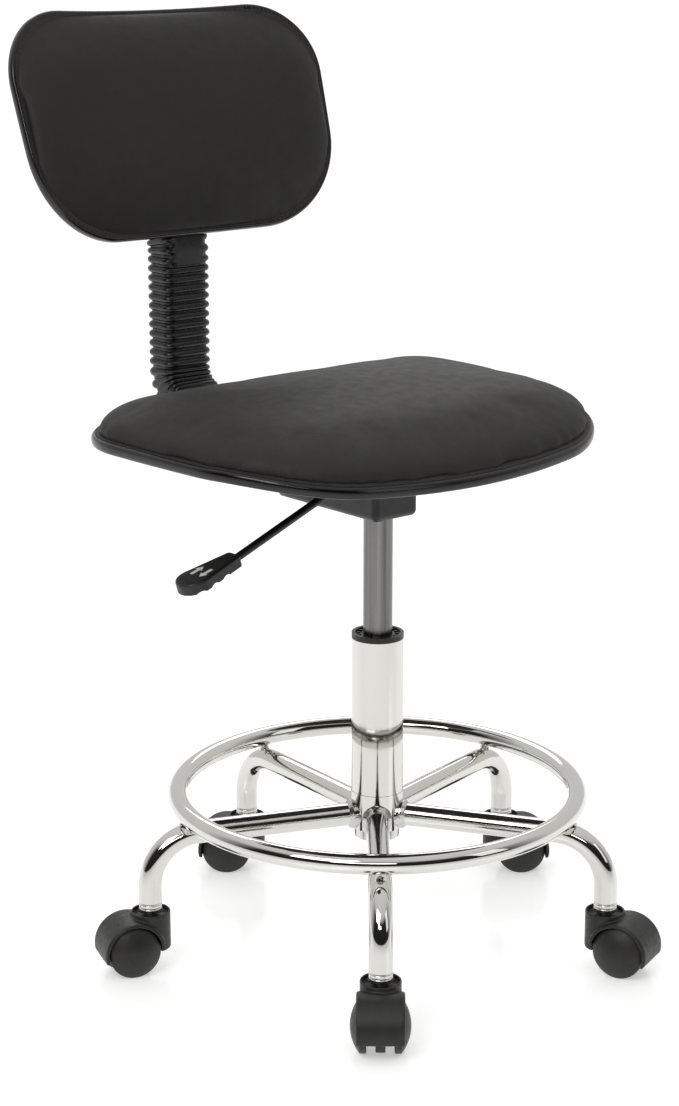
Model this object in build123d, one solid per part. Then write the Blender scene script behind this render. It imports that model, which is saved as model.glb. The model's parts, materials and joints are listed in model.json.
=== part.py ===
from build123d import *

import os
from math import cos, radians, sin, sqrt, tan

# Drafting chair: five-legged chrome base with foot ring, gas lift, padded seat and back on a J-bar.
# Millimetres. Origin on the floor under the column, +Z up. The sitter faces -Y, with +X on the left.

os.makedirs("parts", exist_ok=True)

# ---------------------------------------------------------------- base
leg_count = 5
leg_heading = -130.3            # heading of the first leg, degrees from +X
leg_reach = 228.0               # column axis to the vertical end of a leg
leg_z = 132.5                   # centre height of the straight run
leg_r = 11.0
leg_wall = 1.5
leg_bend = 49.0                 # centre-line radius of the bend
leg_foot_z = 60.0               # lower end of the leg tube
groove_z = (63.0, 67.0)         # rolled grooves that grip the caster socket
ring_r = 193.5                  # foot ring centre line
ring_z = 155.0
ring_tube_r = 9.5
hub_r = 25.5
hub_bottom, hub_top = 119.5, 155.8

# ---------------------------------------------------------------- column and gas lift
column_r = 25.0
column_wall = 2.0
column_top = 309.5
cone_r = 21.7                   # small end of the tapered foot
cone_bottom = 109.0
floor_thick = 3.0
bush_top = 314.8
bush_lip_r = 25.0
bush_length = 90.0
gas_r = 14.0
gas_wall = 1.9
gas_bottom = 228.0
gas_cap = 8.0
gas_top = 468.0
taper_start = 432.0
taper_r = 13.2
rod_r = 5.0
piston_r = 12.0
piston_z = (238.0, 248.0)
slip = 0.05                     # radial clearance of everything that turns or slides

# ---------------------------------------------------------------- casters
trail = 21.0
wheel_r = 25.0
wheel_in, wheel_out = 12.5, 27.4     # inner and outer face of a wheel from the middle
wheel_dome = 40.0               # the outer face is part of a sphere of this radius
hood_r = 29.5
hood_half = 21.9
hood_gap = 1.0
hood_round = 2.0                # rounding of the hood's side edges
hood_low = 17.9                 # the hood ends at this height behind the wheels
neck_r = 18.8
cup_r, cup_depth = 17.0, 6.0    # open cup in the neck's top
stem_r = 5.5
stem_z = (36.0, 84.0)
axle_r = 3.0
caster_headings = (-131.3, -69.3, -41.3, 138.7, 160.7)   # where each caster trails, legs in order

# ---------------------------------------------------------------- seat
seat_back_shift = 43.4          # middle of the seat behind the column axis
seat_half_depth = 147.3
seat_half_front, seat_half_rear = 219.2, 230.2
seat_bow_front, seat_bow_side, seat_bow_rear = 41.3, 5.4, 9.4
seat_r_front, seat_r_rear = 130.0, 88.0
board_z = 501.6                 # underside of the seat board
board_thick = 12.0
droop_from = -35.0              # the board is flat behind this, and rolls down in front
droop = 19.0
trim_proud = 3.5
seat_front = seat_back_shift - seat_half_depth - seat_bow_front
seat_rear = seat_back_shift + seat_half_depth + seat_bow_rear
cushion_inset = 3.0
cushion_edge = 13.0             # height of the cushion at its edge
cushion_round = 8.0
cushion_crown = 38.0            # and in the middle

# ---------------------------------------------------------------- mechanism
plate_thick = 4.0
plate_half_x = 75.0
plate_y = (-35.0, 125.0)
seat_bolt_x, seat_bolt_y = 60.0, (-22.0, 110.0)
house_half_x = 27.0
house_y = (-27.0, 120.0)
house_bottom = 430.0
house_wall = 2.5
socket_r = 18.0
pivot_x, pivot_z = -14.0, 478.8
pivot_r = 2.5
arm_half_y = 5.0
arm_z = (476.3, 481.3)
valve_r = 3.0
valve_z = (464.0, 476.0)
lever_droop = 21.7
lever_rod_r = 3.8
lever_length = 168.0            # pivot to the paddle's root
paddle_length = 66.0
paddle_droop = 16.0
paddle_root, paddle_wide = 8.5, 17.0     # half widths
paddle_thick = 11.0
scallop_r, scallop_depth = 7.0, 1.8      # finger notches under the paddle

# ---------------------------------------------------------------- back bar and backrest
bar_half_x = 19.0
bar_thick = 6.0
bar_start_y = 50.0
bar_y = 309.0                   # the upright part
bar_bend = 50.0
bar_bend_top = 60.0
back_lean = 18.0                # degrees
pad_y, pad_z = 311.0, 777.0     # middle of the pad
bar_offset = 36.0               # bar centre behind the pad's middle plane
bar_end = 46.0                  # bar's tip above the pad's middle
pad_half_height = 116.6
pad_half_top, pad_half_bottom = 191.7, 180.5
pad_bow = 2.0                   # the sides bow out this much
pad_draw = 2.0                  # and the top and bottom edges draw in
pad_r_top, pad_r_bottom = 75.0, 95.0
pad_curve = 934.0
back_board = (-13.0, -3.0)      # from the pad's middle plane, forward is positive
back_shell = (-17.0, -13.3)
shell_inset = 8.0
back_front = 28.0
back_front_curve = 442.0         # the front crowns from top to bottom on this radius
back_round = 7.0
bellows_half = (23.0, 17.0)
bellows_hole = (20.5, 5.0)
sleeve_y = (-38.0, 32.0)
back_bolt_x, back_bolt_y = 36.0, (-20.0, 30.0)
knob_r = 20.0

bolt_r = 3.0
bolt_head_r, bolt_head = 5.5, 4.5
nut_flange_r, nut_flange = 9.0, 1.2
big = 600.0


def save(node, shape):
    export_step(shape, f"parts/{node}.step")


def rod(r, z0, z1, x=0.0, y=0.0):
    """A cylinder on a vertical axis between two heights."""
    return Pos(x, y, z0) * Cylinder(r, z1 - z0, align=(Align.CENTER, Align.CENTER, Align.MIN))


def tube(r, hole, z0, z1):
    return rod(r, z0, z1) - rod(hole, z0 - 1, z1 + 1)


def block(x, y, z):
    """A box from its three spans."""
    centre = ((x[0] + x[1]) / 2, (y[0] + y[1]) / 2, (z[0] + z[1]) / 2)
    return Pos(*centre) * Box(x[1] - x[0], y[1] - y[0], z[1] - z[0])


def turned(points):
    """A solid of revolution about Z from (radius, height) corners."""
    return revolve(Plane.XZ * make_face(Polyline(*points, close=True)), Axis.Z)


def bolt(length, head_r=bolt_head_r, head=bolt_head, shank=bolt_r):
    """A hex bolt that stands up from z = 0, its head below."""
    top = Cylinder(shank, length, align=(Align.CENTER, Align.CENTER, Align.MIN))
    hexagon = Pos(0, 0, -head) * extrude(RegularPolygon(head_r, 6), head)
    return top + hexagon


# ================================================================ base
def leg():
    """One leg tube along +X, straight run then a bend down to the caster."""
    path = FilletPolyline((hub_r - 1.0, 0, leg_z), (leg_reach, 0, leg_z), (leg_reach, 0, leg_foot_z), radius=leg_bend)
    start = Plane(origin=(hub_r - 1.0, 0, leg_z), z_dir=(1, 0, 0))
    section = start * (Circle(leg_r) - Circle(leg_r - leg_wall))
    body = sweep(section, path=path) - rod(hub_r, 0, 300)
    for z in groove_z:
        ring = Pos(leg_reach, 0, z) * Torus(leg_r + 0.5, 1.3)
        body -= ring
    return body


def legs():
    shape = leg()
    for i in range(leg_count):
        save(f"leg_{i + 1}", Rot(0, 0, leg_heading + 72 * i) * shape)


def welds():
    """Fillet beads round each leg's root and the short welds that carry the foot ring."""
    leg_solid = rod(leg_r, 0, leg_reach)
    leg_solid = Pos(0, 0, leg_z) * Rot(0, 90, 0) * leg_solid
    bend = Pos(leg_reach - leg_bend, 0, leg_z - leg_bend) * Rot(90, 0, 0) * Torus(leg_bend, leg_r)
    ring = Pos(0, 0, ring_z) * Torus(ring_r, ring_tube_r)
    bead = Pos(0, 0, leg_z) * Rot(0, 90, 0) * turned([(leg_r, 20), (leg_r + 3.4, 20), (leg_r + 3.2, 27.5), (leg_r, 31)])
    bead = bead - rod(hub_r, 0, 300) - leg_solid
    neck = Pos(ring_r, 0, 0) * turned([(0, 136), (6.5, 136), (4.6, 143.5), (4.2, 145.5), (5.0, 150), (0, 150)])
    neck = neck - bend - ring
    neck = max(neck.solids(), key=lambda s: s.volume)
    beads = []
    for i in range(leg_count):
        turn = Rot(0, 0, leg_heading + 72 * i)
        beads += (turn * max(bead.solids(), key=lambda s: s.volume)).solids() + (turn * neck).solids()
    save("weld_beads", Compound(beads))


def base():
    foot = [(column_r, hub_top), (cone_r, cone_bottom)]

    def cone_at(z):
        """Outer radius of the column's tapered foot at a height."""
        (r1, z1), (r0, z0) = foot
        return r0 + (r1 - r0) * (z - z0) / (z1 - z0)

    bore = turned([(0, hub_bottom - 1), (cone_at(hub_bottom - 1), hub_bottom - 1), (column_r, hub_top),
                   (column_r, hub_top + 1), (0, hub_top + 1)])
    save("hub_tube", rod(hub_r, hub_bottom, hub_top) - bore)
    save("foot_ring", Pos(0, 0, ring_z) * Torus(ring_r, ring_tube_r))

    floor_top = cone_bottom + floor_thick
    inner = column_r - column_wall
    profile = [(rod_r + 1.0, cone_bottom), (cone_r, cone_bottom), (column_r, hub_top), (column_r, column_top),
               (inner, column_top), (inner, hub_top), (cone_at(floor_top) - column_wall, floor_top),
               (rod_r + 1.0, floor_top)]
    save("column_tube", turned(profile))

    lip = column_top
    recess = bush_top - 2.0
    bush = turned([(gas_r + slip, lip - bush_length), (inner, lip - bush_length), (inner, lip), (bush_lip_r, lip),
                   (bush_lip_r, bush_top), (21.5, bush_top), (21.5, recess), (gas_r + slip, recess)])
    rib = block((17.0, 20.0), (-0.9, 0.9), (recess, bush_top - 0.6))
    for i in range(16):
        bush += Rot(0, 0, 22.5 * i) * rib
    save("column_bush", bush)

    # ball bearing that the piston rod turns on, on the column's floor
    race = tube(11.5, rod_r + 0.6, floor_top, floor_top + 2.0)
    balls = [Pos(8.6 * cos(radians(36 * i)), 8.6 * sin(radians(36 * i)), floor_top + 2.0 + 1.6) * Sphere(1.6)
             for i in range(10)]
    save("thrust_bearing", Compound(race.solids() + [b.solid() for b in balls]))

    # sockets pressed into the leg ends, and the stems that snap into them
    socket = turned([(stem_r, leg_foot_z - 0.8), (leg_r + 0.6, leg_foot_z - 0.8), (leg_r + 0.6, leg_foot_z),
                     (leg_r - leg_wall - 1.0, leg_foot_z), (leg_r - leg_wall - 1.0, 88), (0, 88), (0, stem_z[1]),
                     (stem_r, stem_z[1])])
    stem = rod(stem_r, *stem_z)
    sockets, stems = [], []
    for i in range(leg_count):
        place = Rot(0, 0, leg_heading + 72 * i) * Pos(leg_reach, 0, 0)
        sockets += (place * socket).solids()
        stems += (place * stem).solids()
    save("leg_sockets", Compound(sockets))
    save("caster_stems", Compound(stems))


# ================================================================ gas lift
def gas_lift():
    cap_top = gas_bottom + gas_cap
    inner = gas_r - gas_wall
    cylinder = turned([(rod_r + slip, gas_bottom), (gas_r, gas_bottom), (gas_r, taper_start), (taper_r, gas_top),
                       (valve_r + slip, gas_top), (valve_r + slip, valve_z[0] - 4.0), (8.0, valve_z[0] - 4.0),
                       (8.0, taper_start - 8.0), (inner, taper_start - 8.0), (inner, cap_top), (rod_r + slip, cap_top)])
    save("gas_cylinder", cylinder)
    save("piston_rod", rod(rod_r, cone_bottom - 6.0, piston_z[0]) + rod(piston_r, *piston_z))
    clip = tube(8.5, rod_r, cone_bottom - 3.2, cone_bottom - 1.6) - block((0, 10), (-2.2, 2.2), (90, 120))
    race_z = cone_bottom + floor_thick + 5.25
    race = tube(11.5, rod_r, race_z, race_z + 2.0)
    save("rod_retainers", Compound(race.solids() + clip.solids()))
    z0, z1 = valve_z
    save("valve_pin", rod(valve_r, z0, z1 - valve_r) + Pos(0, 0, z1 - valve_r) * Sphere(valve_r))


# ================================================================ casters
def caster_parts():
    """One caster with its swivel on Z, trailing along +X: hood, axle and the two wheels."""
    across = Rot(90, 0, 0)
    hub = Pos(trail, 0, wheel_r)
    band = Cylinder(hood_r, 2 * hood_half)
    band = hub * across * fillet(band.edges(), hood_round)
    room = hub * across * Cylinder(wheel_r + hood_gap, 2 * hood_half + 2)
    band = band - room - block((-60, trail - 4), (-40, 40), (-5, 30)) - block((-60, 60), (-40, 40), (-10, hood_low))
    web = hub * across * Cylinder(wheel_r + hood_gap + 0.5, 9.0)
    web -= block((-60, 60), (-40, 40), (-10, 7.5))
    wheels_room = hub * across * (Cylinder(wheel_r + hood_gap, 80) - Cylinder(wheel_r + 20, 2 * wheel_in - 1.6))
    neck = rod(neck_r, 20.0, leg_foot_z - 1.0) - wheels_room
    neck = neck - block((-60, 60), (-40, 40), (0, 22))
    hood = band + web + neck
    hood -= rod(stem_r + slip, 0, 100)
    hood -= rod(cup_r, leg_foot_z - cup_depth, 100)
    hood -= hub * across * Cylinder(axle_r, 80)
    hood = max(hood.solids(), key=lambda s: s.volume)
    axle = hub * across * Cylinder(axle_r, 2 * wheel_out - 5.0)
    half = (wheel_out - wheel_in) / 2
    wheel = Cylinder(wheel_r, 2 * half) & Pos(0, 0, half - wheel_dome) * Sphere(wheel_dome)
    wheel = fillet([e for e in wheel.edges() if e.geom_type == GeomType.CIRCLE], 1.0)
    wheel -= Pos(0, 0, -half) * Cylinder(axle_r + slip, 4 * half - 4.8)
    middle = (wheel_in + wheel_out) / 2
    left = hub * Pos(0, middle, 0) * Rot(-90, 0, 0) * wheel
    right = hub * Pos(0, -middle, 0) * Rot(90, 0, 0) * wheel
    return hood, axle, left, right


def casters():
    hood, axle, left, right = caster_parts()
    for i in range(leg_count):
        heading = leg_heading + 72 * i
        place = Pos(leg_reach * cos(radians(heading)), leg_reach * sin(radians(heading)), 0)
        place = place * Rot(0, 0, caster_headings[i])
        for name, piece in (("hood", hood), ("axle", axle), ("wheel_a", left), ("wheel_b", right)):
            save(f"caster_{name}_{i + 1}", place * piece)


# ================================================================ seat
def seat_outline(inset=0.0):
    """The seat's plan shape: four bowed sides with round corners."""
    d, f, r = seat_half_depth, seat_half_front, seat_half_rear
    mid = (f + r) / 2 + seat_bow_side
    with BuildSketch() as plan:
        with BuildLine():
            ThreePointArc((-f, -d), (0, -d - seat_bow_front), (f, -d))
            ThreePointArc((f, -d), (mid, 0), (r, d))
            ThreePointArc((r, d), (0, d + seat_bow_rear), (-r, d))
            ThreePointArc((-r, d), (-mid, 0), (-f, -d))
        make_face()
        fillet(plan.vertices().group_by(Axis.Y)[0], seat_r_front)
        fillet(plan.vertices().group_by(Axis.Y)[-1], seat_r_rear)
        if inset:
            offset(amount=-inset)
    return Pos(0, seat_back_shift, 0) * plan.sketch


def seat_column(inset=0.0):
    return Pos(0, 0, 440) * extrude(seat_outline(inset), 160)


def fall(y):
    """How far the board has rolled down at a distance from the back."""
    return droop * (max(0.0, droop_from - y) / (droop_from - seat_front)) ** 2


def seat_slab(z0, z1):
    """A slab with the board's side profile, flat behind and rolled down in front."""
    front, rear = seat_front - 5.0, seat_rear + 5.0
    lower = TangentArc((droop_from, z0), (front, z0 - fall(front)), tangent=(-1, 0))
    upper = TangentArc((droop_from, z1), (front, z1 - fall(front)), tangent=(-1, 0))
    edges = [Line((rear, z0), (droop_from, z0)), lower, Line(lower @ 1, upper @ 1), upper,
             Line((droop_from, z1), (rear, z1)), Line((rear, z1), (rear, z0))]
    profile = make_face(edges)
    return extrude(Plane.YZ * profile, big / 2, both=True)


def clear_of_board(edge, top):
    """Whether an edge runs above the board all along, as the cushion's upper edges do."""
    return all(p.Z > top - fall(p.Y) + 5.0 for p in (edge @ 0.1, edge @ 0.5, edge @ 0.9))


def seat_bolt_spots():
    return [(x, y) for x in (-seat_bolt_x, seat_bolt_x) for y in seat_bolt_y]


def seat():
    top = board_z + board_thick
    board = seat_slab(board_z, top) & seat_column(trim_proud)
    for x, y in seat_bolt_spots():
        board -= rod(bolt_r + 1.5, board_z - 1, top + 1, x, y)
        board -= rod(nut_flange_r, top - nut_flange, top + 1, x, y)
    save("seat_board", board)
    trim = (seat_slab(board_z, top) & seat_column()) - seat_column(trim_proud)
    save("seat_trim", trim)

    front, rear = seat_front + cushion_inset, seat_rear - cushion_inset
    edge, crown = top + cushion_edge, top + cushion_crown
    long_arc = ThreePointArc((rear, edge), (seat_back_shift, crown), (front, edge - droop))
    long = make_face([long_arc, Line((front, edge - droop), (front, 400)), Line((front, 400), (rear, 400)),
                      Line((rear, 400), (rear, edge))])
    wide = seat_half_rear
    wide_arc = ThreePointArc((-wide, edge), (0, crown), (wide, edge))
    wide_face = make_face([wide_arc, Line((wide, edge), (wide, 400)), Line((wide, 400), (-wide, 400)),
                           Line((-wide, 400), (-wide, edge))])
    body = seat_column(cushion_inset) & extrude(Plane.YZ * long, big / 2, both=True)
    body = body & extrude(Plane.XZ * wide_face, big / 2, both=True)
    body = body - seat_slab(350, top)
    body = max(body.solids(), key=lambda s: s.volume)
    rim = [e for e in body.edges() if clear_of_board(e, top)]
    save("seat_cushion", fillet(rim, cushion_round))

    plate = block((-plate_half_x, plate_half_x), plate_y, (board_z - plate_thick, board_z))
    plate = fillet(plate.edges().filter_by(Axis.Z), 12.0)
    bolts, nuts = [], []
    for x, y in seat_bolt_spots():
        plate -= rod(bolt_r + 0.25, 400, 600, x, y)
        bolts += (Pos(x, y, board_z - plate_thick) * bolt(plate_thick + board_thick - 1.0)).solids()
        nut = rod(nut_flange_r, top - nut_flange, top, x, y) + rod(bolt_r + 1.5, board_z + 1.0, top, x, y)
        nuts += (nut - rod(bolt_r, 400, 600, x, y)).solids()
    for y in (70.0, 100.0):
        plate -= rod(4.0, 400, 600, 0, y)
    save("mounting_plate", plate)
    save("seat_bolts", Compound(bolts))
    save("seat_tee_nuts", Compound(nuts))


# ================================================================ mechanism and lever
def mechanism():
    top = board_z - plate_thick
    house = block((-house_half_x, house_half_x), house_y, (house_bottom, top))
    low = house.edges().group_by(Axis.Z)[0]
    upright = house.edges().filter_by(Axis.Z)
    house = fillet(low + upright, 6.0)
    w = house_wall
    hollow = block((-house_half_x + w, house_half_x - w), (house_y[0] + w, house_y[1] - w), (house_bottom + w, top + 5))
    hollow = fillet(hollow.edges().group_by(Axis.Z)[0] + hollow.edges().filter_by(Axis.Z), 3.5)
    house -= hollow
    house -= rod(socket_r, 400, house_bottom + w + 1)
    house -= block((-40, -20), (-6.0, 6.0), (467.0, 487.0))
    house -= block((-bar_half_x - 0.5, bar_half_x + 0.5), (house_y[1] - 10, house_y[1] + 10), (top - bar_thick - 0.5, top + 5))
    save("mechanism_housing", house)

    socket = turned([(gas_r, house_bottom), (socket_r, house_bottom), (socket_r, gas_top), (taper_r, gas_top),
                     (gas_r, taper_start)])
    for side in (-1, 1):
        ear = block((pivot_x - 4.0, pivot_x + 4.0), tuple(sorted((side * 7.0, side * 9.0))), (gas_top, pivot_z + 5.0))
        socket += ear
    pin = Pos(pivot_x, 0, pivot_z) * Rot(90, 0, 0) * Cylinder(pivot_r, 22.0)
    save("taper_socket", socket - pin)
    save("lever_pin", pin)

    # the lever: a flat arm over the valve, then a round rod that hangs to the sitter's right
    away = Pos(pivot_x, 0, pivot_z) * Rot(0, -90 - lever_droop, 0)
    arm = block((pivot_x - 5.0, 6.0), (-arm_half_y, arm_half_y), arm_z)
    shaft = away * Cylinder(lever_rod_r, lever_length + 14.0, align=(Align.CENTER, Align.CENTER, Align.MIN))
    arm = arm + shaft
    arm -= Pos(pivot_x, 0, pivot_z) * Rot(90, 0, 0) * Cylinder(pivot_r + slip, 40.0)
    save("lever_rod", max(arm.solids(), key=lambda s: s.volume))

    # the paddle, drawn flat with its root at the origin and its wide end along +X
    with BuildSketch() as plan:
        with BuildLine():
            p0 = (0, -paddle_root)
            p1 = (paddle_length * 0.72, -paddle_wide)
            Line(p0, p1)
            ThreePointArc(p1, (paddle_length, 0), (p1[0], paddle_wide))
            Line((p1[0], paddle_wide), (0, paddle_root))
            Line((0, paddle_root), p0)
        make_face()
        fillet(plan.vertices(), 4.0)
    body = Pos(0, 0, -paddle_thick / 2) * extrude(plan.sketch, paddle_thick)
    body = fillet(body.edges().group_by(Axis.Z)[-1], 2.0)
    for x in (22.0, 38.0, 54.0):
        notch_z = -paddle_thick / 2 - scallop_r + scallop_depth
        body -= Pos(x, 0, notch_z) * Rot(90, 0, 0) * Cylinder(scallop_r, 60)
    tilt = Rot(0, -paddle_droop, 0) * Rot(0, 0, 180)
    root = (pivot_x - lever_length * cos(radians(lever_droop)), 0, pivot_z - lever_length * sin(radians(lever_droop)))
    paddle = Pos(*root) * tilt * body - shaft
    save("lever_paddle", max(paddle.solids(), key=lambda s: s.volume))


# ================================================================ back bar and backrest
lean = radians(back_lean)
pad_plane = Plane(origin=(0, pad_y, pad_z), x_dir=(1, 0, 0), z_dir=(0, -cos(lean), sin(lean)))


def on_pad(x, y, z):
    """A point given across, up and forward of the pad's middle, in the chair's frame."""
    return pad_plane.from_local_coords(Vector(x, y, z))


def bar_points():
    """Corners of the bar's centre line before its bends are rounded, as (y, z)."""
    level = board_z - plate_thick - bar_thick / 2
    top = on_pad(0, bar_end, -bar_offset)
    knee_z = top.Z - (top.Y - bar_y) / tan(lean)
    return [(bar_start_y, level), (bar_y, level), (bar_y, knee_z), (top.Y, top.Z)]


def back_bar():
    points = [(0, y, z) for y, z in bar_points()]
    path = FilletPolyline(*points, radius=(bar_bend, bar_bend_top))
    start = Plane(origin=points[0], x_dir=(1, 0, 0), z_dir=(0, 1, 0))
    bar = sweep(start * Rectangle(2 * bar_half_x, bar_thick), path=path)
    level = points[0][2]
    bolts = []
    for y in (70.0, 100.0):
        bar -= rod(4.2, level - 10, level + 10, 0, y)
        shape = bolt(bar_thick + plate_thick - 0.5, head_r=7.5, head=5.3, shank=4.0)
        bolts += (Pos(0, y, level - bar_thick / 2) * shape).solids()
    save("back_bar", bar)
    save("bar_bolts", Compound(bolts))

    # the bellows starts half way round the lower bend and ends under the backrest bracket
    turn = radians(-45)
    centre = (bar_y - bar_bend, level + bar_bend)
    low = (0, centre[0] + bar_bend * cos(turn), centre[1] + bar_bend * sin(turn))
    knee = points[2]
    reach = bar_bend_top * tan(lean / 2)
    arc_low = ThreePointArc(low, (0, centre[0] + bar_bend * cos(turn / 2), centre[1] + bar_bend * sin(turn / 2)),
                            (0, bar_y, centre[1]))
    up = Line((0, bar_y, centre[1]), (0, bar_y, knee[2] - reach))
    end = on_pad(0, sleeve_y[0] - 0.5, -bar_offset)
    after = (0, knee[1] + reach * sin(lean), knee[2] + reach * cos(lean))
    arc_top = TangentArc(up @ 1, after, tangent=(0, 0, 1))
    last = Line(after, end)
    route = Wire([arc_low, up, arc_top, last])
    tangent = route % 0
    section = Plane(origin=low, x_dir=(1, 0, 0), z_dir=tangent)
    outer = sweep(section * Rectangle(2 * bellows_half[0], 2 * bellows_half[1]), path=route)
    inner = sweep(section * Rectangle(2 * bellows_hole[0], 2 * bellows_hole[1]), path=route)
    save("bar_bellows", outer - inner)


def pad_outline(inset=0.0):
    h, t, b = pad_half_height - inset, pad_half_top - inset, pad_half_bottom - inset
    mid = (t + b) / 2 + pad_bow
    with BuildSketch() as plan:
        with BuildLine():
            ThreePointArc((t, h), (0, h - pad_draw), (-t, h))
            ThreePointArc((-t, h), (-mid, 0), (-b, -h))
            ThreePointArc((-b, -h), (0, -h + pad_draw), (b, -h))
            ThreePointArc((b, -h), (mid, 0), (t, h))
        make_face()
        fillet(plan.vertices().group_by(Axis.Y)[-1], pad_r_top - inset)
        fillet(plan.vertices().group_by(Axis.Y)[0], pad_r_bottom - inset)
    return plan.sketch


def pad_block(inset, back):
    """The pad's outline, cut behind by the upright cylinder that the pad is bent on."""
    column = Pos(0, 0, -80) * extrude(pad_outline(inset), 200)
    return column & Pos(0, 0, pad_curve) * Rot(90, 0, 0) * Cylinder(pad_curve - back, big)


def pad_layer(inset, back, front):
    """A bent sheet of the pad between two depths."""
    sheet = pad_block(inset, back) - Pos(0, 0, pad_curve) * Rot(90, 0, 0) * Cylinder(pad_curve - front, big)
    return max(sheet.solids(), key=lambda s: s.volume)


def on_crown(edge):
    """Whether an edge lies on the cylinder that crowns the back cushion's front."""
    centre_z = back_front - back_front_curve
    radii = [sqrt(p.Y ** 2 + (p.Z - centre_z) ** 2) for p in (edge @ 0.1, edge @ 0.5, edge @ 0.9)]
    return all(abs(r - back_front_curve) < 0.01 for r in radii)


def put_on_pad(shape):
    return pad_plane.location * shape


def backrest():
    b0, b1 = back_board
    board = pad_layer(trim_proud, b0, b1)
    shell = pad_layer(shell_inset, *back_shell)
    trim = pad_layer(0.0, b0, b1) - Pos(0, 0, -80) * extrude(pad_outline(trim_proud), 200)
    crown = Pos(0, 0, back_front - back_front_curve) * Rot(0, 90, 0) * Cylinder(back_front_curve, big)
    cushion = max((pad_block(cushion_inset, b1) & crown).solids(), key=lambda s: s.volume)
    rim = [e for e in cushion.edges() if on_crown(e)]
    cushion = fillet(rim, back_round)

    s0 = back_shell[0] - 3.0
    spots = [(x, y) for x in (-back_bolt_x, back_bolt_x) for y in back_bolt_y]
    flat = block((-46, 46), (-32, 42), (s0, back_shell[0] - 0.02))
    flat = fillet(flat.edges().filter_by(Axis.Z), 8.0)
    sleeve = block((-24, 24), sleeve_y, (-bar_offset - 8.0, s0))
    bracket = flat + sleeve
    half = bar_thick / 2 + 0.3
    bracket -= block((-bar_half_x - 0.3, bar_half_x + 0.3), (-60, 60), (-bar_offset - half, -bar_offset + half))
    bracket -= rod(4.0 + slip, -60, -bar_offset)
    bolts, nuts = [], []
    for x, y in spots:
        sag = pad_curve - sqrt(pad_curve ** 2 - x * x)
        hole = rod(bolt_r + 0.25, -60, 20, x, y)
        bracket -= hole
        shell -= hole
        board -= rod(bolt_r + 1.5, -60, 20, x, y)
        bolts += (Pos(x, y, s0) * bolt(b1 - s0 + sag - 2.0)).solids()
        nut = rod(bolt_r + 1.5, b0 + sag + 1.0, b1 + sag - 1.3, x, y) - rod(bolt_r, -60, 20, x, y)
        nuts += nut.solids()
    save("back_board", put_on_pad(board))
    save("back_shell", put_on_pad(shell))
    save("back_trim", put_on_pad(trim))
    save("back_cushion", put_on_pad(cushion))
    save("back_bracket", put_on_pad(bracket))
    save("back_bolts", put_on_pad(Compound(bolts)))
    save("back_tee_nuts", put_on_pad(Compound(nuts)))

    wall = -bar_offset - 8.0
    knob = rod(knob_r, wall - 17.0, wall - 1.0)
    for i in range(6):
        a = radians(60 * i)
        knob -= rod(6.5, wall - 30, wall + 10, (knob_r + 3.0) * cos(a), (knob_r + 3.0) * sin(a))
    knob = fillet(knob.edges().group_by(Axis.Z)[0], 2.0)
    stud = rod(4.0, wall - 12.0, -bar_offset - bar_thick / 2 - 0.25)
    knob -= stud
    save("back_knob", put_on_pad(Compound(knob.solids() + stud.solids())))


base()
legs()
welds()
gas_lift()
casters()
seat()
mechanism()
back_bar()
backrest()
print("bar corners", [tuple(round(v, 1) for v in p) for p in bar_points()])
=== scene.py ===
import json
import math

import bmesh
import bpy
from mathutils import Matrix, Vector
from mathutils.bvhtree import BVHTree
from mathutils.kdtree import KDTree


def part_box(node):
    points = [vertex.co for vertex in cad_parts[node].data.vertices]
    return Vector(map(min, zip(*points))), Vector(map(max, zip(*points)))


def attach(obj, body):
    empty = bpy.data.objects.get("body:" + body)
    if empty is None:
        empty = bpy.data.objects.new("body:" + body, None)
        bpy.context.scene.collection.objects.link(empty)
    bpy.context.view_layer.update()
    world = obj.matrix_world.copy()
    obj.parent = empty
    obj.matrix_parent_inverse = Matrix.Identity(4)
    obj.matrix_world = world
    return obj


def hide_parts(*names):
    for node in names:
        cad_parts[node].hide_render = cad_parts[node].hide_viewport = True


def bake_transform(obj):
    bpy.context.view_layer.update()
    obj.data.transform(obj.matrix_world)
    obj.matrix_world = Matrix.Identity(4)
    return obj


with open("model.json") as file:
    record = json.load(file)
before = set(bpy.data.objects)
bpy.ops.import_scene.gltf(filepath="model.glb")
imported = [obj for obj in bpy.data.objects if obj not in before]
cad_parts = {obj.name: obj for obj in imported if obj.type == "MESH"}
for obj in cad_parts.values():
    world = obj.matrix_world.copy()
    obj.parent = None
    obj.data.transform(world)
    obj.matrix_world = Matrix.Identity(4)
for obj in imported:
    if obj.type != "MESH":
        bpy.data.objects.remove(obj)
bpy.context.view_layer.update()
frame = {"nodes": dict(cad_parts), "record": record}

nodes = frame["nodes"]
print("frame loaded:", len(nodes), "nodes")


# ---- camera, light and floor

camera = {"place": (-1.4847, -1.6900, 0.9897), "turn": (75.126, 0.0, -40.37), "lens": 79.97}
toCamera = Vector((-0.660, -0.751, 0.0))  # level direction from the chair to the camera


def makeCamera():
    data = bpy.data.cameras.new("camera")
    data.lens = camera["lens"]
    data.sensor_width = 36.0
    data.clip_end = 100.0
    obj = bpy.data.objects.new("camera", data)
    obj.location = camera["place"]
    obj.rotation_euler = [math.radians(a) for a in camera["turn"]]
    bpy.context.scene.collection.objects.link(obj)
    bpy.context.scene.camera = obj


def linear(hexColour):  # sRGB hex to linear, the one place where colours are turned
    parts = [int(hexColour[i:i + 2], 16) / 255 for i in (1, 3, 5)]
    return tuple(c / 12.92 if c <= 0.04045 else ((c + 0.055) / 1.055) ** 2.4 for c in parts) + (1.0,)


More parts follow.
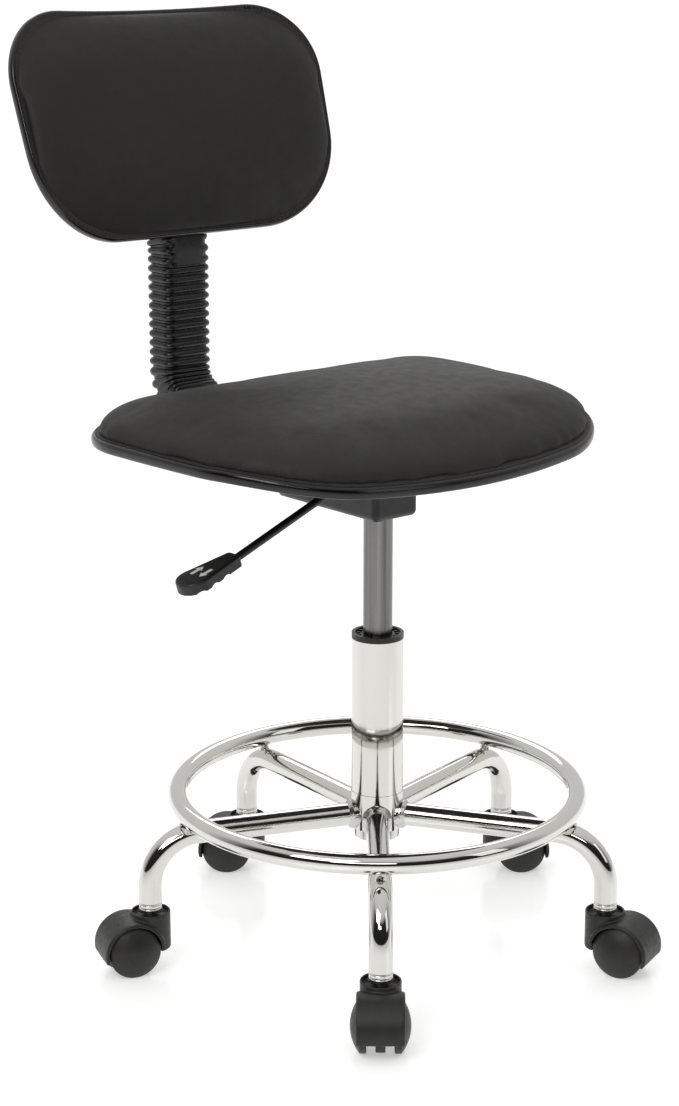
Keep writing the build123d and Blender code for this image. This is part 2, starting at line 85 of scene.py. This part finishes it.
def addNode(tree, kind, settings=None, links=None):  # capitalised names and numbers are sockets, the rest settings
    node = tree.nodes.new(kind)
    for key, value in (settings or {}).items():
        if isinstance(key, int) or key[0].isupper():
            node.inputs[key].default_value = value
        else:
            setattr(node, key, value)
    for key, source in (links or {}).items():
        tree.links.new(source, node.inputs[key])
    return node


def grey(value):
    return (value, value, value, 1.0)


def setRamp(node, stops):
    ramp = node.color_ramp
    while len(ramp.elements) < len(stops):
        ramp.elements.new(0.5)
    for element, (place, value) in zip(ramp.elements, stops):
        element.position = place
        element.color = grey(value)


skyStops = {  # height from straight down (0) to straight up (1), and brightness
    # a dark studio behind the camera, and a white backdrop opposite
    "near": [(0.0, 0.8), (0.495, 0.75), (0.505, 0.02), (0.78, 0.03), (0.86, 0.85), (1.0, 1.0)],
    "far": [(0.0, 0.8), (0.49, 0.95), (0.6, 0.9), (1.0, 1.0)],
}
skyStrength = 0.80


def makeWorld():
    world = bpy.data.worlds.new("studio")
    bpy.context.scene.world = world
    world.use_nodes = True
    tree = world.node_tree
    tree.nodes.clear()
    where = addNode(tree, "ShaderNodeTexCoord").outputs["Generated"]
    height = addNode(tree, "ShaderNodeSeparateXYZ", links={0: where}).outputs["Z"]
    height01 = addNode(tree, "ShaderNodeMath", {"operation": "MULTIPLY_ADD", 1: 0.5, 2: 0.5}, {0: height})
    near = addNode(tree, "ShaderNodeValToRGB", links={0: height01.outputs[0]})
    setRamp(near, skyStops["near"])
    far = addNode(tree, "ShaderNodeValToRGB", links={0: height01.outputs[0]})
    setRamp(far, skyStops["far"])
    side = addNode(tree, "ShaderNodeVectorMath", {"operation": "DOT_PRODUCT", 1: toCamera}, {0: where})
    share = addNode(tree, "ShaderNodeMapRange", {"From Min": -0.25, "From Max": 0.35},
                    {"Value": side.outputs["Value"]})
    blend = addNode(tree, "ShaderNodeMix", {"data_type": "RGBA"}, {"Factor": share.outputs[0]})
    tree.links.new(far.outputs[0], blend.inputs[6])
    tree.links.new(near.outputs[0], blend.inputs[7])
    lit = addNode(tree, "ShaderNodeBackground", {"Strength": skyStrength}, {"Color": blend.outputs[2]})
    plain = addNode(tree, "ShaderNodeBackground", {"Color": grey(1.0), "Strength": 1.0})
    ray = addNode(tree, "ShaderNodeLightPath").outputs["Is Camera Ray"]
    both = addNode(tree, "ShaderNodeMixShader", links={0: ray, 1: lit.outputs[0], 2: plain.outputs[0]})
    addNode(tree, "ShaderNodeOutputWorld", links={"Surface": both.outputs[0]})


softBoxes = {  # place, aim, width and height in metres, power in watts
    "keyBox": ((-2.3, -0.7, 2.3), (0.0, 0.0, 0.5), 1.6, 1.2, 27.0),
    "fillBox": ((1.0, -2.6, 1.5), (0.0, 0.0, 0.4), 0.9, 1.6, 5.0),
    "stripBox": ((-2.6, -2.3, 2.0), (0.0, 0.0, 0.5), 2.2, 0.35, 13.0),
    "backBox": ((1.4, 1.9, 2.0), (0.0, 0.1, 0.5), 1.8, 1.0, 11.0),
}


def makeLights():
    for name, (place, aim, width, height, power) in softBoxes.items():
        data = bpy.data.lights.new(name, "AREA")
        data.shape = "RECTANGLE"
        data.size = width
        data.size_y = height
        data.energy = power
        obj = bpy.data.objects.new(name, data)
        obj.location = place
        obj.rotation_euler = (Vector(aim) - Vector(place)).to_track_quat("-Z", "Y").to_euler()
        bpy.context.scene.collection.objects.link(obj)


floorSheet = {"halfWide": 30.0, "glow": 0.42, "thrown": 0.14}  # thrown is the grey it shows to bounced light


def makeFloor():
    bm = bmesh.new()
    bmesh.ops.create_grid(bm, x_segments=2, y_segments=2, size=floorSheet["halfWide"])
    floor = finish("floor", bm, whiteFloor())
    print("studio made")


# ---- materials

def startMaterial(name, colour, roughness, **sockets):
    material = bpy.data.materials.new(name)
    material.use_nodes = True
    tree = material.node_tree
    tree.nodes.clear()
    shader = addNode(tree, "ShaderNodeBsdfPrincipled", {"Base Color": linear(colour), "Roughness": roughness})
    for key, value in sockets.items():
        shader.inputs[key.replace("_", " ")].default_value = value
    addNode(tree, "ShaderNodeOutputMaterial", links={"Surface": shader.outputs[0]})
    where = addNode(tree, "ShaderNodeTexCoord").outputs["Object"]
    return material, tree, shader, where


def grain(tree, where, size, detail=2.0, stretch=None):  # noise whose features are about size metres across
    if stretch:
        where = addNode(tree, "ShaderNodeMapping", {"Scale": stretch}, {"Vector": where}).outputs[0]
    noise = addNode(tree, "ShaderNodeTexNoise", {"Scale": 1.0 / size, "Detail": detail, "Roughness": 0.5},
                    {"Vector": where})
    return noise.outputs["Fac"]


def spread(tree, source, low, high):
    # noise keeps mostly between 0.3 and 0.7, so that span is stretched to the whole range
    node = addNode(tree, "ShaderNodeMapRange", {"From Min": 0.3, "From Max": 0.7, "To Min": low, "To Max": high},
                   {"Value": source})
    return node.outputs[0]


def tint(tree, source, first, second):
    node = addNode(tree, "ShaderNodeMix", {"data_type": "RGBA"}, {"Factor": source})
    node.inputs[6].default_value = linear(first)
    node.inputs[7].default_value = linear(second)
    return node.outputs[2]


def bump(tree, shader, source, depth, strength=1.0, after=None):
    node = addNode(tree, "ShaderNodeBump", {"Strength": strength, "Distance": depth}, {"Height": source})
    if after:
        tree.links.new(after, node.inputs["Normal"])
    tree.links.new(node.outputs[0], shader.inputs["Normal"])
    return node.outputs[0]


made = {}


def leatherette():  # PU-coated cloth, embossed: a dull warm charcoal with a fine pebble grain
    material, tree, shader, where = startMaterial("pu_leatherette", "#292824", 0.62, Specular_IOR_Level=0.34)
    wide = grain(tree, where, 0.09, 3.0)
    tree.links.new(tint(tree, spread(tree, wide, 0.0, 1.0), "#272622", "#2c2b27"), shader.inputs["Base Color"])
    # the real pebbles are about 0.9 mm, drawn at 1.5 mm so that they show
    warp = addNode(tree, "ShaderNodeTexNoise", {"Scale": 420.0, "Detail": 1.0}, {"Vector": where})
    mixed = addNode(tree, "ShaderNodeMix", {"data_type": "VECTOR", "Factor": 0.0016})
    tree.links.new(where, mixed.inputs[4])
    tree.links.new(warp.outputs["Color"], mixed.inputs[5])
    cells = addNode(tree, "ShaderNodeTexVoronoi", {"feature": "SMOOTH_F1", "Scale": 1.0 / 0.0015, "Smoothness": 0.5},
                    {"Vector": mixed.outputs[1]})
    pores = addNode(tree, "ShaderNodeMath", {"operation": "SUBTRACT", 0: 1.0}, {1: cells.outputs["Distance"]})
    first = bump(tree, shader, pores.outputs[0], 0.00022, 0.55)
    bump(tree, shader, grain(tree, where, 0.03, 1.0), 0.0006, 0.2, first)
    tree.links.new(spread(tree, grain(tree, where, 0.012, 2.0), 0.58, 0.66), shader.inputs["Roughness"])
    return material


def softVinyl():  # extruded PVC edging: near black with a soft gloss
    material, tree, shader, where = startMaterial("extruded_pvc", "#0b0b0c", 0.18, Specular_IOR_Level=0.5)
    bump(tree, shader, grain(tree, where, 0.02, 1.0), 0.0003, 0.2)
    tree.links.new(spread(tree, grain(tree, where, 0.008, 2.0), 0.15, 0.22), shader.inputs["Roughness"])
    return material


def chrome():  # nickel-chrome plate, buffed: a clear cool mirror with faint handling haze
    material, tree, shader, where = startMaterial("chrome_plate", "#d6d4cf", 0.05, Metallic=1.0)
    tree.links.new(spread(tree, grain(tree, where, 0.03, 4.0), 0.035, 0.085), shader.inputs["Roughness"])
    bump(tree, shader, grain(tree, where, 0.05, 1.0), 0.0004, 0.25)
    return material


def chromeWeld():  # weld bead under the same plate: small ripples that break the reflections up
    material, tree, shader, where = startMaterial("chrome_over_weld", "#c6c6c4", 0.1, Metallic=1.0)
    bump(tree, shader, grain(tree, where, 0.0035, 2.0), 0.0006, 0.8)
    return material


def groundSteel():  # centreless-ground gas tube: satin grey with fine streaks along its length
    material, tree, shader, where = startMaterial("ground_steel", "#757472", 0.3, Metallic=1.0)
    streak = grain(tree, where, 0.0011, 2.0, (1.0, 1.0, 0.006))
    # painted reflection: the wide light and dark bands along the tube are partly its grinding streaks and partly
    # painted reflection of the studio
    wide = grain(tree, where, 0.007, 2.0, (1.0, 1.0, 0.02))
    tree.links.new(tint(tree, spread(tree, wide, 0.0, 1.0), "#5f5e5c", "#8b8a86"), shader.inputs["Base Color"])
    tree.links.new(spread(tree, streak, 0.22, 0.4), shader.inputs["Roughness"])
    bump(tree, shader, streak, 0.0002, 0.35)
    return material


def nylon():  # injection-moulded glass-filled nylon: dull dark grey with a fine spark texture
    material, tree, shader, where = startMaterial("moulded_nylon", "#201f1d", 0.44)
    tree.links.new(tint(tree, spread(tree, grain(tree, where, 0.02, 3.0), 0.0, 1.0), "#1c1b1a", "#252421"),
                   shader.inputs["Base Color"])
    first = bump(tree, shader, grain(tree, where, 0.0006, 2.0), 0.00012, 0.5)
    bump(tree, shader, grain(tree, where, 0.008, 1.0), 0.0003, 0.25, first)
    tree.links.new(spread(tree, grain(tree, where, 0.004, 2.0), 0.4, 0.54), shader.inputs["Roughness"])
    return material


def blackPlastic():  # moulded polypropylene: black, satin, lightly textured
    material, tree, shader, where = startMaterial("moulded_polypropylene", "#0f0f0f", 0.4)
    bump(tree, shader, grain(tree, where, 0.0007, 2.0), 0.00015, 0.5)
    tree.links.new(spread(tree, grain(tree, where, 0.005, 2.0), 0.34, 0.5), shader.inputs["Roughness"])
    return material


def blackRubber():  # moulded soft PVC boot: black, with a weak sheen on its ribs
    material, tree, shader, where = startMaterial("moulded_soft_pvc", "#0d0d0d", 0.30)
    bump(tree, shader, grain(tree, where, 0.0012, 3.0), 0.00015, 0.4)
    tree.links.new(spread(tree, grain(tree, where, 0.006, 2.0), 0.25, 0.36), shader.inputs["Roughness"])
    return material


def powderCoat():  # black epoxy powder: low gloss with a slight orange peel
    material, tree, shader, where = startMaterial("black_powder_coat", "#0c0c0d", 0.36)
    bump(tree, shader, grain(tree, where, 0.0018, 2.0), 0.0003, 0.4)
    tree.links.new(spread(tree, grain(tree, where, 0.01, 2.0), 0.3, 0.45), shader.inputs["Roughness"])
    return material


def zincSteel():  # zinc-plated steel: pale grey, faintly mottled
    material, tree, shader, where = startMaterial("zinc_plated_steel", "#a9a9a4", 0.34, Metallic=1.0)
    tree.links.new(tint(tree, spread(tree, grain(tree, where, 0.002, 3.0), 0.0, 1.0), "#96958f", "#b9b9b4"),
                   shader.inputs["Base Color"])
    tree.links.new(spread(tree, grain(tree, where, 0.003, 3.0), 0.26, 0.45), shader.inputs["Roughness"])
    bump(tree, shader, grain(tree, where, 0.0008, 2.0), 0.0001, 0.4)
    return material


def stainedPly():  # plywood sprayed black: dull, with the face veneer's grain telling through
    material, tree, shader, where = startMaterial("black_stained_plywood", "#26221e", 0.68)
    fibre = grain(tree, where, 0.0022, 4.0, (0.05, 1.0, 1.0))
    tree.links.new(tint(tree, spread(tree, fibre, 0.0, 1.0), "#1d1a17", "#322c26"), shader.inputs["Base Color"])
    bump(tree, shader, fibre, 0.0003, 0.6)
    return material


def whitePrint():  # pad-printed ink: flat off-white, thin over the plastic's texture
    material, tree, shader, where = startMaterial("pad_print_ink", "#dcdad2", 0.55)
    bump(tree, shader, grain(tree, where, 0.0007, 2.0), 0.00008, 0.4)
    return material


def whiteFloor():  # white acrylic sheet: pale, with a faint mirror image
    material, tree, shader, where = startMaterial("white_acrylic", "#f4f4f3", 0.12, Specular_IOR_Level=0.5)
    shader.inputs["Emission Color"].default_value = grey(1.0)
    shader.inputs["Emission Strength"].default_value = floorSheet["glow"]  # lit through from below
    tree.links.new(spread(tree, grain(tree, where, 0.3, 2.0), 0.10, 0.14), shader.inputs["Roughness"])
    # it throws less light back up than it shows, so the undersides stay dark
    dim = addNode(tree, "ShaderNodeBsdfDiffuse", {"Color": grey(floorSheet["thrown"])})
    bounced = addNode(tree, "ShaderNodeLightPath").outputs["Is Diffuse Ray"]
    both = addNode(tree, "ShaderNodeMixShader", links={0: bounced, 1: shader.outputs[0], 2: dim.outputs[0]})
    end = next(node for node in tree.nodes if node.type == "OUTPUT_MATERIAL")
    tree.links.new(both.outputs[0], end.inputs["Surface"])
    return material


recipes = {
    "upholstery": leatherette, "black_vinyl": softVinyl, "black_rubber": blackRubber, "plywood": stainedPly,
    "black_plastic": blackPlastic, "caster_nylon": nylon, "black_steel": powderCoat, "steel": zincSteel,
    "satin_steel": groundSteel, "chrome": chrome, "weld": chromeWeld, "print": whitePrint,
}


def material(slot):
    if slot not in made:
        made[slot] = recipes[slot]()
    return made[slot]


def paintFrame():
    for part in frame["record"]["subparts"]:
        obj = nodes[part["node"]]
        slot = "weld" if part["node"] == "weld_beads" else part["material_slot"]
        obj.data.materials.clear()
        obj.data.materials.append(material(slot))
    print("frame painted")


# ---- helpers for new pieces

def finish(name, bm, finishMaterial, smooth=True):
    data = bpy.data.meshes.new(name)
    bm.to_mesh(data)
    bm.free()
    data.materials.append(finishMaterial)
    obj = bpy.data.objects.new(name, data)
    bpy.context.scene.collection.objects.link(obj)
    for polygon in data.polygons:
        polygon.use_smooth = smooth
    return obj


def settle(obj):  # bakes the modifiers into the mesh
    graph = bpy.context.evaluated_depsgraph_get()
    graph.update()
    data = bpy.data.meshes.new_from_object(obj.evaluated_get(graph))
    obj.modifiers.clear()
    obj.data = data
    for polygon in data.polygons:
        polygon.use_smooth = True
    return obj


def modify(obj, kind, **settings):
    modifier = obj.modifiers.new(kind.lower(), kind)
    for key, value in settings.items():
        setattr(modifier, key, value)
    return modifier


mergeGap = 0.000005  # corners of loose triangles closer than this are one


def softCopy(node, name, slot, voxel, rounds):  # a CAD shape with its edges moulded round
    bm = bmesh.new()
    bm.from_mesh(nodes[node].data)
    bmesh.ops.remove_doubles(bm, verts=bm.verts, dist=mergeGap)
    obj = finish(name, bm, material(slot))
    modify(obj, "REMESH", mode="VOXEL", voxel_size=voxel)
    modify(obj, "SMOOTH", factor=0.5, iterations=rounds)
    settle(obj)
    return obj


def stand(obj, body, slot, *replaced):
    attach(obj, body)
    if replaced:
        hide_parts(*replaced)
    return obj


outlineStep = 0.004


def outlineOf(node, flatten, middle, centre):  # the outer line of an edge strip, in its flat space
    data = nodes[node].data
    tree = BVHTree.FromPolygons([flatten(v.co) for v in data.vertices], [p.vertices for p in data.polygons])
    points = []
    for i in range(360):
        way = Vector((math.cos(math.radians(i)), math.sin(math.radians(i)), 0.0))
        hit = tree.ray_cast(centre + way * 0.5 + Vector((0.0, 0.0, middle)), -way)[0]
        points.append(Vector((hit.x, hit.y, 0.0)))
    return evenly(points, outlineStep)


def evenly(points, step):  # a closed line of points, spaced again at about step
    ring = points + [points[0]]
    lengths = [0.0]
    for a, b in zip(ring, ring[1:]):
        lengths.append(lengths[-1] + (b - a).length)
    count = int(lengths[-1] / step)
    result, k = [], 0
    for i in range(count):
        want = lengths[-1] * i / count
        while lengths[k + 1] < want:
            k += 1
        share = (want - lengths[k]) / (lengths[k + 1] - lengths[k])
        result.append(ring[k].lerp(ring[k + 1], share))
    return result


def drawIn(points, amount):  # a closed line moved inwards, counter-clockwise points
    result = []
    for i, point in enumerate(points):
        along = points[(i + 1) % len(points)] - points[i - 1]
        inward = Vector((-along.y, along.x, 0.0)).normalized()
        result.append(point + inward * amount)
    return result


# ---- seat and back, which share their way of making

seat = {"rollStart": -0.035, "boardThick": 0.012, "wall": 0.0120, "pillow": 0.0110, "pillowRun": 0.018,
        "crown": 0.0186, "crownRun": 0.200}
seatLow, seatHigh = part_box("seat_trim")
seatMiddle = Vector(((seatLow.x + seatHigh.x) / 2, (seatLow.y + seatHigh.y) / 2, 0.0))
seatDroop = seatHigh.z - seat["boardThick"] - seatLow.z

back = {"place": Vector((0.0, 0.311, 0.777)), "lean": math.radians(18.0), "curve": 0.934, "boardFront": -0.003,
        "boardBack": -0.013, "crown": 0.034, "tall": 0.380, "rim": 0.0105, "rimRun": 0.016}
backTurn = Matrix(((1, 0, 0), (0, math.sin(back["lean"]), -math.cos(back["lean"])),
                   (0, math.cos(back["lean"]), math.sin(back["lean"]))))  # columns: across, up, forward


def seatFall(y):
    run = max(0.0, seat["rollStart"] - y) / (seat["rollStart"] - seatLow.y)
    return seatDroop * run ** 2


def ontoSeat(point):  # flat seat space, z up from the board's upper face, to the chair
    return Vector((point.x, point.y, point.z + seatHigh.z - seatFall(point.y)))


def offSeat(point):
    return Vector((point.x, point.y, point.z - seatHigh.z + seatFall(point.y)))


def ontoBack(point):  # flat pad space, z forward of its middle sheet, to the chair
    depth = back["curve"] - math.sqrt((back["curve"] - point.z) ** 2 - point.x ** 2)
    return back["place"] + backTurn @ Vector((point.x, point.y, depth))


def offBack(point):
    local = backTurn.transposed() @ (point - back["place"])
    return Vector((local.x, local.y, back["curve"] - math.hypot(local.x, back["curve"] - local.z)))


def seatHeight(distance, x, y):
    pillow = seat["wall"] + seat["pillow"] * (1.0 - math.exp(-distance / seat["pillowRun"]))
    crown = seat["crown"] * (1.0 - (1.0 - min(distance / seat["crownRun"], 1.0)) ** 2)
    return pillow + crown


def backHeight(distance, x, y):
    height = back["crown"] - y * y / (2 * back["tall"]) - x * x / (2 * back["curve"])
    return height - back["rim"] * math.exp(-distance / back["rimRun"])


# skirt is how far down the cover reaches behind the edging, puff the most that it may be blown up
covering = {"slab": 0.010, "skirt": 0.004, "inset": 0.0044, "net": 0.005, "rounds": 14, "seatPuff": 0.0022,
            "backPuff": 0.003}
cloth = {"frames": 20, "quality": 6, "mass": 0.25, "tension": 12.0, "compression": 6.0, "bending": 1.5,
         "pressure": 4.0}


def cover(name, outline, height, place, board, puff, slot):
    # a flat slab of the outline, remeshed to an even net, raised to the foam's height and blown up as cloth
    thick, skirt, inset = covering["slab"], covering["skirt"], covering["inset"]
    inside = drawIn(outline, inset)
    bm = bmesh.new()
    face = bm.faces.new([bm.verts.new(p) for p in inside])
    grown = bmesh.ops.extrude_face_region(bm, geom=[face])
    bmesh.ops.translate(bm, verts=[v for v in grown["geom"] if isinstance(v, bmesh.types.BMVert)], vec=(0, 0, thick))
    bmesh.ops.recalc_face_normals(bm, faces=bm.faces)
    obj = finish(name, bm, material(slot))
    modify(obj, "REMESH", mode="VOXEL", voxel_size=covering["net"])
    settle(obj)
    fine = evenly(outline, outlineStep / 4)
    edge = KDTree(len(fine))
    for i, point in enumerate(fine):
        edge.insert(point, i)
    edge.balance()
    rest = []
    for vertex in obj.data.vertices:
        share = min(max(vertex.co.z / thick, 0.0), 1.0)
        flat = Vector((vertex.co.x, vertex.co.y, 0.0))
        distance = max(edge.find(flat)[2] - inset, 0.0)
        flat.z = board - skirt + share * (skirt + height(distance, flat.x, flat.y) - puff * share)
        vertex.co = place(flat)
        rest.append(share)
    blowUp(obj, rest, puff)
    modify(obj, "SMOOTH", factor=0.5, iterations=covering["rounds"])
    modify(obj, "SUBSURF", levels=1, render_levels=1)
    settle(obj)
    print(name, "made:", len(obj.data.polygons), "faces")
    return obj


def blowUp(obj, rest, cap):
    start = [v.co.copy() for v in obj.data.vertices]
    group = obj.vertex_groups.new(name="held")
    for i, share in enumerate(rest):
        if share < 0.6:
            group.add([i], 1.0, "REPLACE")
    modifier = modify(obj, "CLOTH")
    modifier.settings.quality = cloth["quality"]
    modifier.settings.mass = cloth["mass"]
    modifier.settings.tension_stiffness = cloth["tension"]
    modifier.settings.compression_stiffness = cloth["compression"]
    modifier.settings.bending_stiffness = cloth["bending"]
    modifier.settings.use_pressure = True
    modifier.settings.uniform_pressure_force = cloth["pressure"]
    modifier.settings.vertex_group_mass = "held"
    modifier.settings.effector_weights.gravity = 0.0
    modifier.point_cache.frame_end = cloth["frames"]
    scene = bpy.context.scene
    for step in range(1, cloth["frames"] + 1):
        scene.frame_set(step)
    graph = bpy.context.evaluated_depsgraph_get()
    blown = [v.co.copy() for v in obj.evaluated_get(graph).data.vertices]
    obj.modifiers.clear()
    obj.vertex_groups.clear()
    scene.frame_set(1)
    for vertex, before, after in zip(obj.data.vertices, start, blown):
        move = after - before
        if move.length > cap:
            move *= cap / move.length
        vertex.co = before + move


edging = {"proud": 0.0056, "tuck": 0.002, "seatTall": 0.0108, "seatMiddle": -0.0065, "backTall": 0.0110,
          "backDrop": 0.0005}


def bead(name, outline, place, middle, height, proud, slot):
    # PVC edging: a rounded strip swept round the outline, its back hidden in the board's edge
    data = bpy.data.curves.new(name + "Section", "CURVE")
    data.dimensions = "2D"
    line = data.splines.new("NURBS")
    half, shoulder, tuck = height / 2, proud * 0.62, -edging["tuck"]
    corners = [(tuck, -half), (0.0, -half), (shoulder, -half), (proud, -half * 0.55), (proud, half * 0.55),
               (shoulder, half), (0.0, half), (tuck, half)]
    line.points.add(len(corners) - 1)
    for point, (x, y) in zip(line.points, corners):
        point.co = (x, y, 0.0, 1.0)
    line.order_u = 3
    line.use_cyclic_u = True
    line.resolution_u = 5
    section = bpy.data.objects.new(name + "Section", data)
    bpy.context.scene.collection.objects.link(section)

    route = bpy.data.curves.new(name, "CURVE")
    route.dimensions = "3D"
    route.twist_mode = "Z_UP"
    route.bevel_mode = "OBJECT"
    route.bevel_object = section
    path = route.splines.new("POLY")
    points = drawIn(outline, proud)
    path.points.add(len(points) - 1)
    for point, spot in zip(path.points, points):
        point.co = (spot.x, spot.y, middle, 1.0)
    path.use_cyclic_u = True
    curve = bpy.data.objects.new(name + "Route", route)
    bpy.context.scene.collection.objects.link(curve)
    graph = bpy.context.evaluated_depsgraph_get()
    graph.update()
    mesh = bpy.data.meshes.new_from_object(curve.evaluated_get(graph))
    for item in (curve, section):
        bpy.data.objects.remove(item)
    bm = bmesh.new()
    bm.from_mesh(mesh)
    bmesh.ops.remove_doubles(bm, verts=bm.verts, dist=mergeGap)
    for vertex in bm.verts:
        vertex.co = place(vertex.co)
    bmesh.ops.recalc_face_normals(bm, faces=bm.faces)
    return finish(name, bm, material(slot))


def makeSeat():
    outline = outlineOf("seat_trim", offSeat, -seat["boardThick"] / 2, seatMiddle)
    top = cover("seatCover", outline, seatHeight, ontoSeat, 0.0, covering["seatPuff"], "upholstery")
    stand(top, "seat", "upholstery", "seat_cushion")
    strip = bead("seatEdging", outline, ontoSeat, edging["seatMiddle"], edging["seatTall"], edging["proud"],
                 "black_vinyl")
    stand(strip, "seat", "black_vinyl", "seat_trim")


def makeBack():
    front = back["boardFront"]
    middle = (front + back["boardBack"]) / 2
    outline = outlineOf("back_trim", offBack, middle, Vector((0.0, 0.0, 0.0)))
    pad = cover("backCover", outline, backHeight, ontoBack, front, covering["backPuff"], "upholstery")
    stand(pad, "backrest", "upholstery", "back_cushion")
    strip = bead("backEdging", outline, ontoBack, middle - edging["backDrop"], edging["backTall"], edging["proud"],
                 "black_vinyl")
    stand(strip, "backrest", "black_vinyl", "back_trim")


# ---- ribbed boot over the back bar

boot = {"halfWide": 0.0268, "halfDeep": 0.0182, "rib": 0.0028, "pitch": 0.0095, "corner": 7.0, "wall": 0.0016,
        "step": 0.00095, "under": 78.0, "panelLow": 0.633, "panelHigh": 0.668, "panelShare": 0.80, "panelLift": 0.85,
        "barY": 0.309, "level": 0.4946, "bend": 0.034, "topBend": 0.060, "offset": 0.036, "sleeveEnd": -0.0385,
        "barEnd": 0.046}


def bootRoute(step):  # centre line as (y, z, heading from straight up) at even steps
    lean = back["lean"]
    top = back["place"] + backTurn @ Vector((0.0, boot["barEnd"], -boot["offset"]))
    end = back["place"] + backTurn @ Vector((0.0, boot["sleeveEnd"], -boot["offset"]))
    knee = top.z - (top.y - boot["barY"]) / math.tan(lean)
    reach = boot["topBend"] * math.tan(lean / 2)
    centreY, centreZ = boot["barY"] - boot["bend"], boot["level"] + boot["bend"]
    arcLow = boot["bend"] * math.radians(boot["under"])
    straight = knee - reach - centreZ
    arcTop = boot["topBend"] * lean
    afterY, afterZ = boot["barY"] + reach * math.sin(lean), knee + reach * math.cos(lean)
    last = (end.z - afterZ) / math.cos(lean)
    total = arcLow + straight + arcTop + last
    count = int(total / step)
    route = []
    for i in range(count + 1):
        s = total * i / count
        if s < arcLow:
            angle = math.radians(-boot["under"]) + s / boot["bend"]
            route.append((centreY + boot["bend"] * math.cos(angle),
                          centreZ + boot["bend"] * math.sin(angle), angle))
        elif s < arcLow + straight:
            route.append((boot["barY"], centreZ + s - arcLow, 0.0))
        elif s < arcLow + straight + arcTop:
            angle = (s - arcLow - straight) / boot["topBend"]
            route.append((boot["barY"] + boot["topBend"] * (1 - math.cos(angle)),
                          knee - reach + boot["topBend"] * math.sin(angle), -angle))
        else:
            t = s - arcLow - straight - arcTop
            route.append((afterY + t * math.sin(lean), afterZ + t * math.cos(lean), -lean))
    return route, total


def ribWave(s):  # 1 on a rib's crest, 0 in the valley
    phase = (s / boot["pitch"]) % 1.0
    return max(0.0, math.cos((phase - 0.5) * math.pi / 0.58)) ** 0.7


def makeBoot():
    route, total = bootRoute(boot["step"])
    corner = boot["corner"]
    bm = bmesh.new()
    ring = bmesh.ops.create_circle(bm, segments=48, radius=1.0)["verts"]
    plan = []
    for vertex in ring:
        angle = math.atan2(vertex.co.y, vertex.co.x)
        fold = (abs(math.cos(angle)) ** corner + abs(math.sin(angle)) ** corner) ** (-1 / corner)
        plan.append((fold * math.cos(angle), fold * math.sin(angle)))
    edges = list(bm.edges)
    for i, (y, z, heading) in enumerate(route):
        if i > 0:
            grown = bmesh.ops.extrude_edge_only(bm, edges=edges)["geom"]
            edges = [g for g in grown if isinstance(g, bmesh.types.BMEdge)]
            ring = [g for g in grown if isinstance(g, bmesh.types.BMVert)]
        wave = ribWave(total * i / (len(route) - 1))
        for vertex, (u, v) in zip(ring, plan):
            onPanel = v < -0.8 and abs(u) < boot["panelShare"] and boot["panelLow"] < z < boot["panelHigh"]
            lift = boot["rib"] * (boot["panelLift"] if onPanel else wave)
            across = u * (boot["halfWide"] - boot["rib"] + lift)
            deep = v * (boot["halfDeep"] - boot["rib"] + lift)
            vertex.co = (across, y + deep * math.cos(heading), z + deep * math.sin(heading))
    bmesh.ops.recalc_face_normals(bm, faces=bm.faces)
    obj = finish("boot", bm, material("black_rubber"))
    modify(obj, "SOLIDIFY", thickness=boot["wall"], offset=-1.0)
    settle(obj)
    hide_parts("bar_bellows")
    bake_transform(obj)
    print("boot made:", len(obj.data.polygons), "faces")


# ---- casters

casterHood = {"net": 0.0009, "rounds": 3}


def makeCasters():
    for i in range(1, 6):
        hood = softCopy(f"caster_hood_{i}", f"casterHood{i}", "caster_nylon", casterHood["net"], casterHood["rounds"])
        stand(hood, f"caster_{i}", "caster_nylon", f"caster_hood_{i}")
    print("caster hoods made")


# ---- lever paddle and its marks

paddle = {"net": 0.0006, "rounds": 4, "droop": math.radians(16.0), "markAt": 0.025, "apart": 0.0120, "tall": 0.0150,
          "wide": 0.0095, "ink": 0.0002}


def makePaddle():
    obj = softCopy("lever_paddle", "paddle", "black_plastic", paddle["net"], paddle["rounds"])
    stand(obj, "lever", "black_plastic", "lever_paddle")
    low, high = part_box("lever_paddle")
    along = Vector((math.cos(paddle["droop"]), 0.0, math.sin(paddle["droop"])))  # up the paddle, to the rod
    out = Vector((-along.z, 0.0, along.x))
    tree = BVHTree.FromPolygons([v.co for v in obj.data.vertices], [p.vertices for p in obj.data.polygons])
    spot = Vector((low.x + paddle["markAt"], (low.y + high.y) / 2, high.z + 0.02))
    origin = tree.ray_cast(spot, Vector((0.0, 0.0, -1.0)))[0] + out * paddle["ink"]
    half, stem = paddle["wide"] / 2, paddle["wide"] / 5
    neck = paddle["tall"] * 0.1
    tip = paddle["tall"] / 2
    shape = [(0.0, tip), (-half, neck), (-stem, neck), (-stem, -tip), (stem, -tip), (stem, neck), (half, neck)]
    bm = bmesh.new()
    for side in (-1, 1):  # one arrow up the paddle and one down it
        corners = [origin + along * (v * side) + Vector((0.0, u * side + paddle["apart"] / 2 * side, 0.0))
                   for u, v in shape]
        face = bm.faces.new([bm.verts.new(c) for c in corners])
        grown = bmesh.ops.extrude_face_region(bm, geom=[face])["geom"]
        sunk = [g for g in grown if isinstance(g, bmesh.types.BMVert)]
        bmesh.ops.translate(bm, verts=sunk, vec=-out * 2 * paddle["ink"])
    bmesh.ops.recalc_face_normals(bm, faces=bm.faces)
    marks = finish("paddleArrows", bm, material("print"), False)
    stand(marks, "lever", "black_plastic")
    print("paddle made")


makeCamera()
makeWorld()
makeLights()
makeFloor()
paintFrame()
makeSeat()
makeBack()
makeBoot()
makeCasters()
makePaddle()

scene = bpy.context.scene
scene.view_settings.view_transform = "Standard"
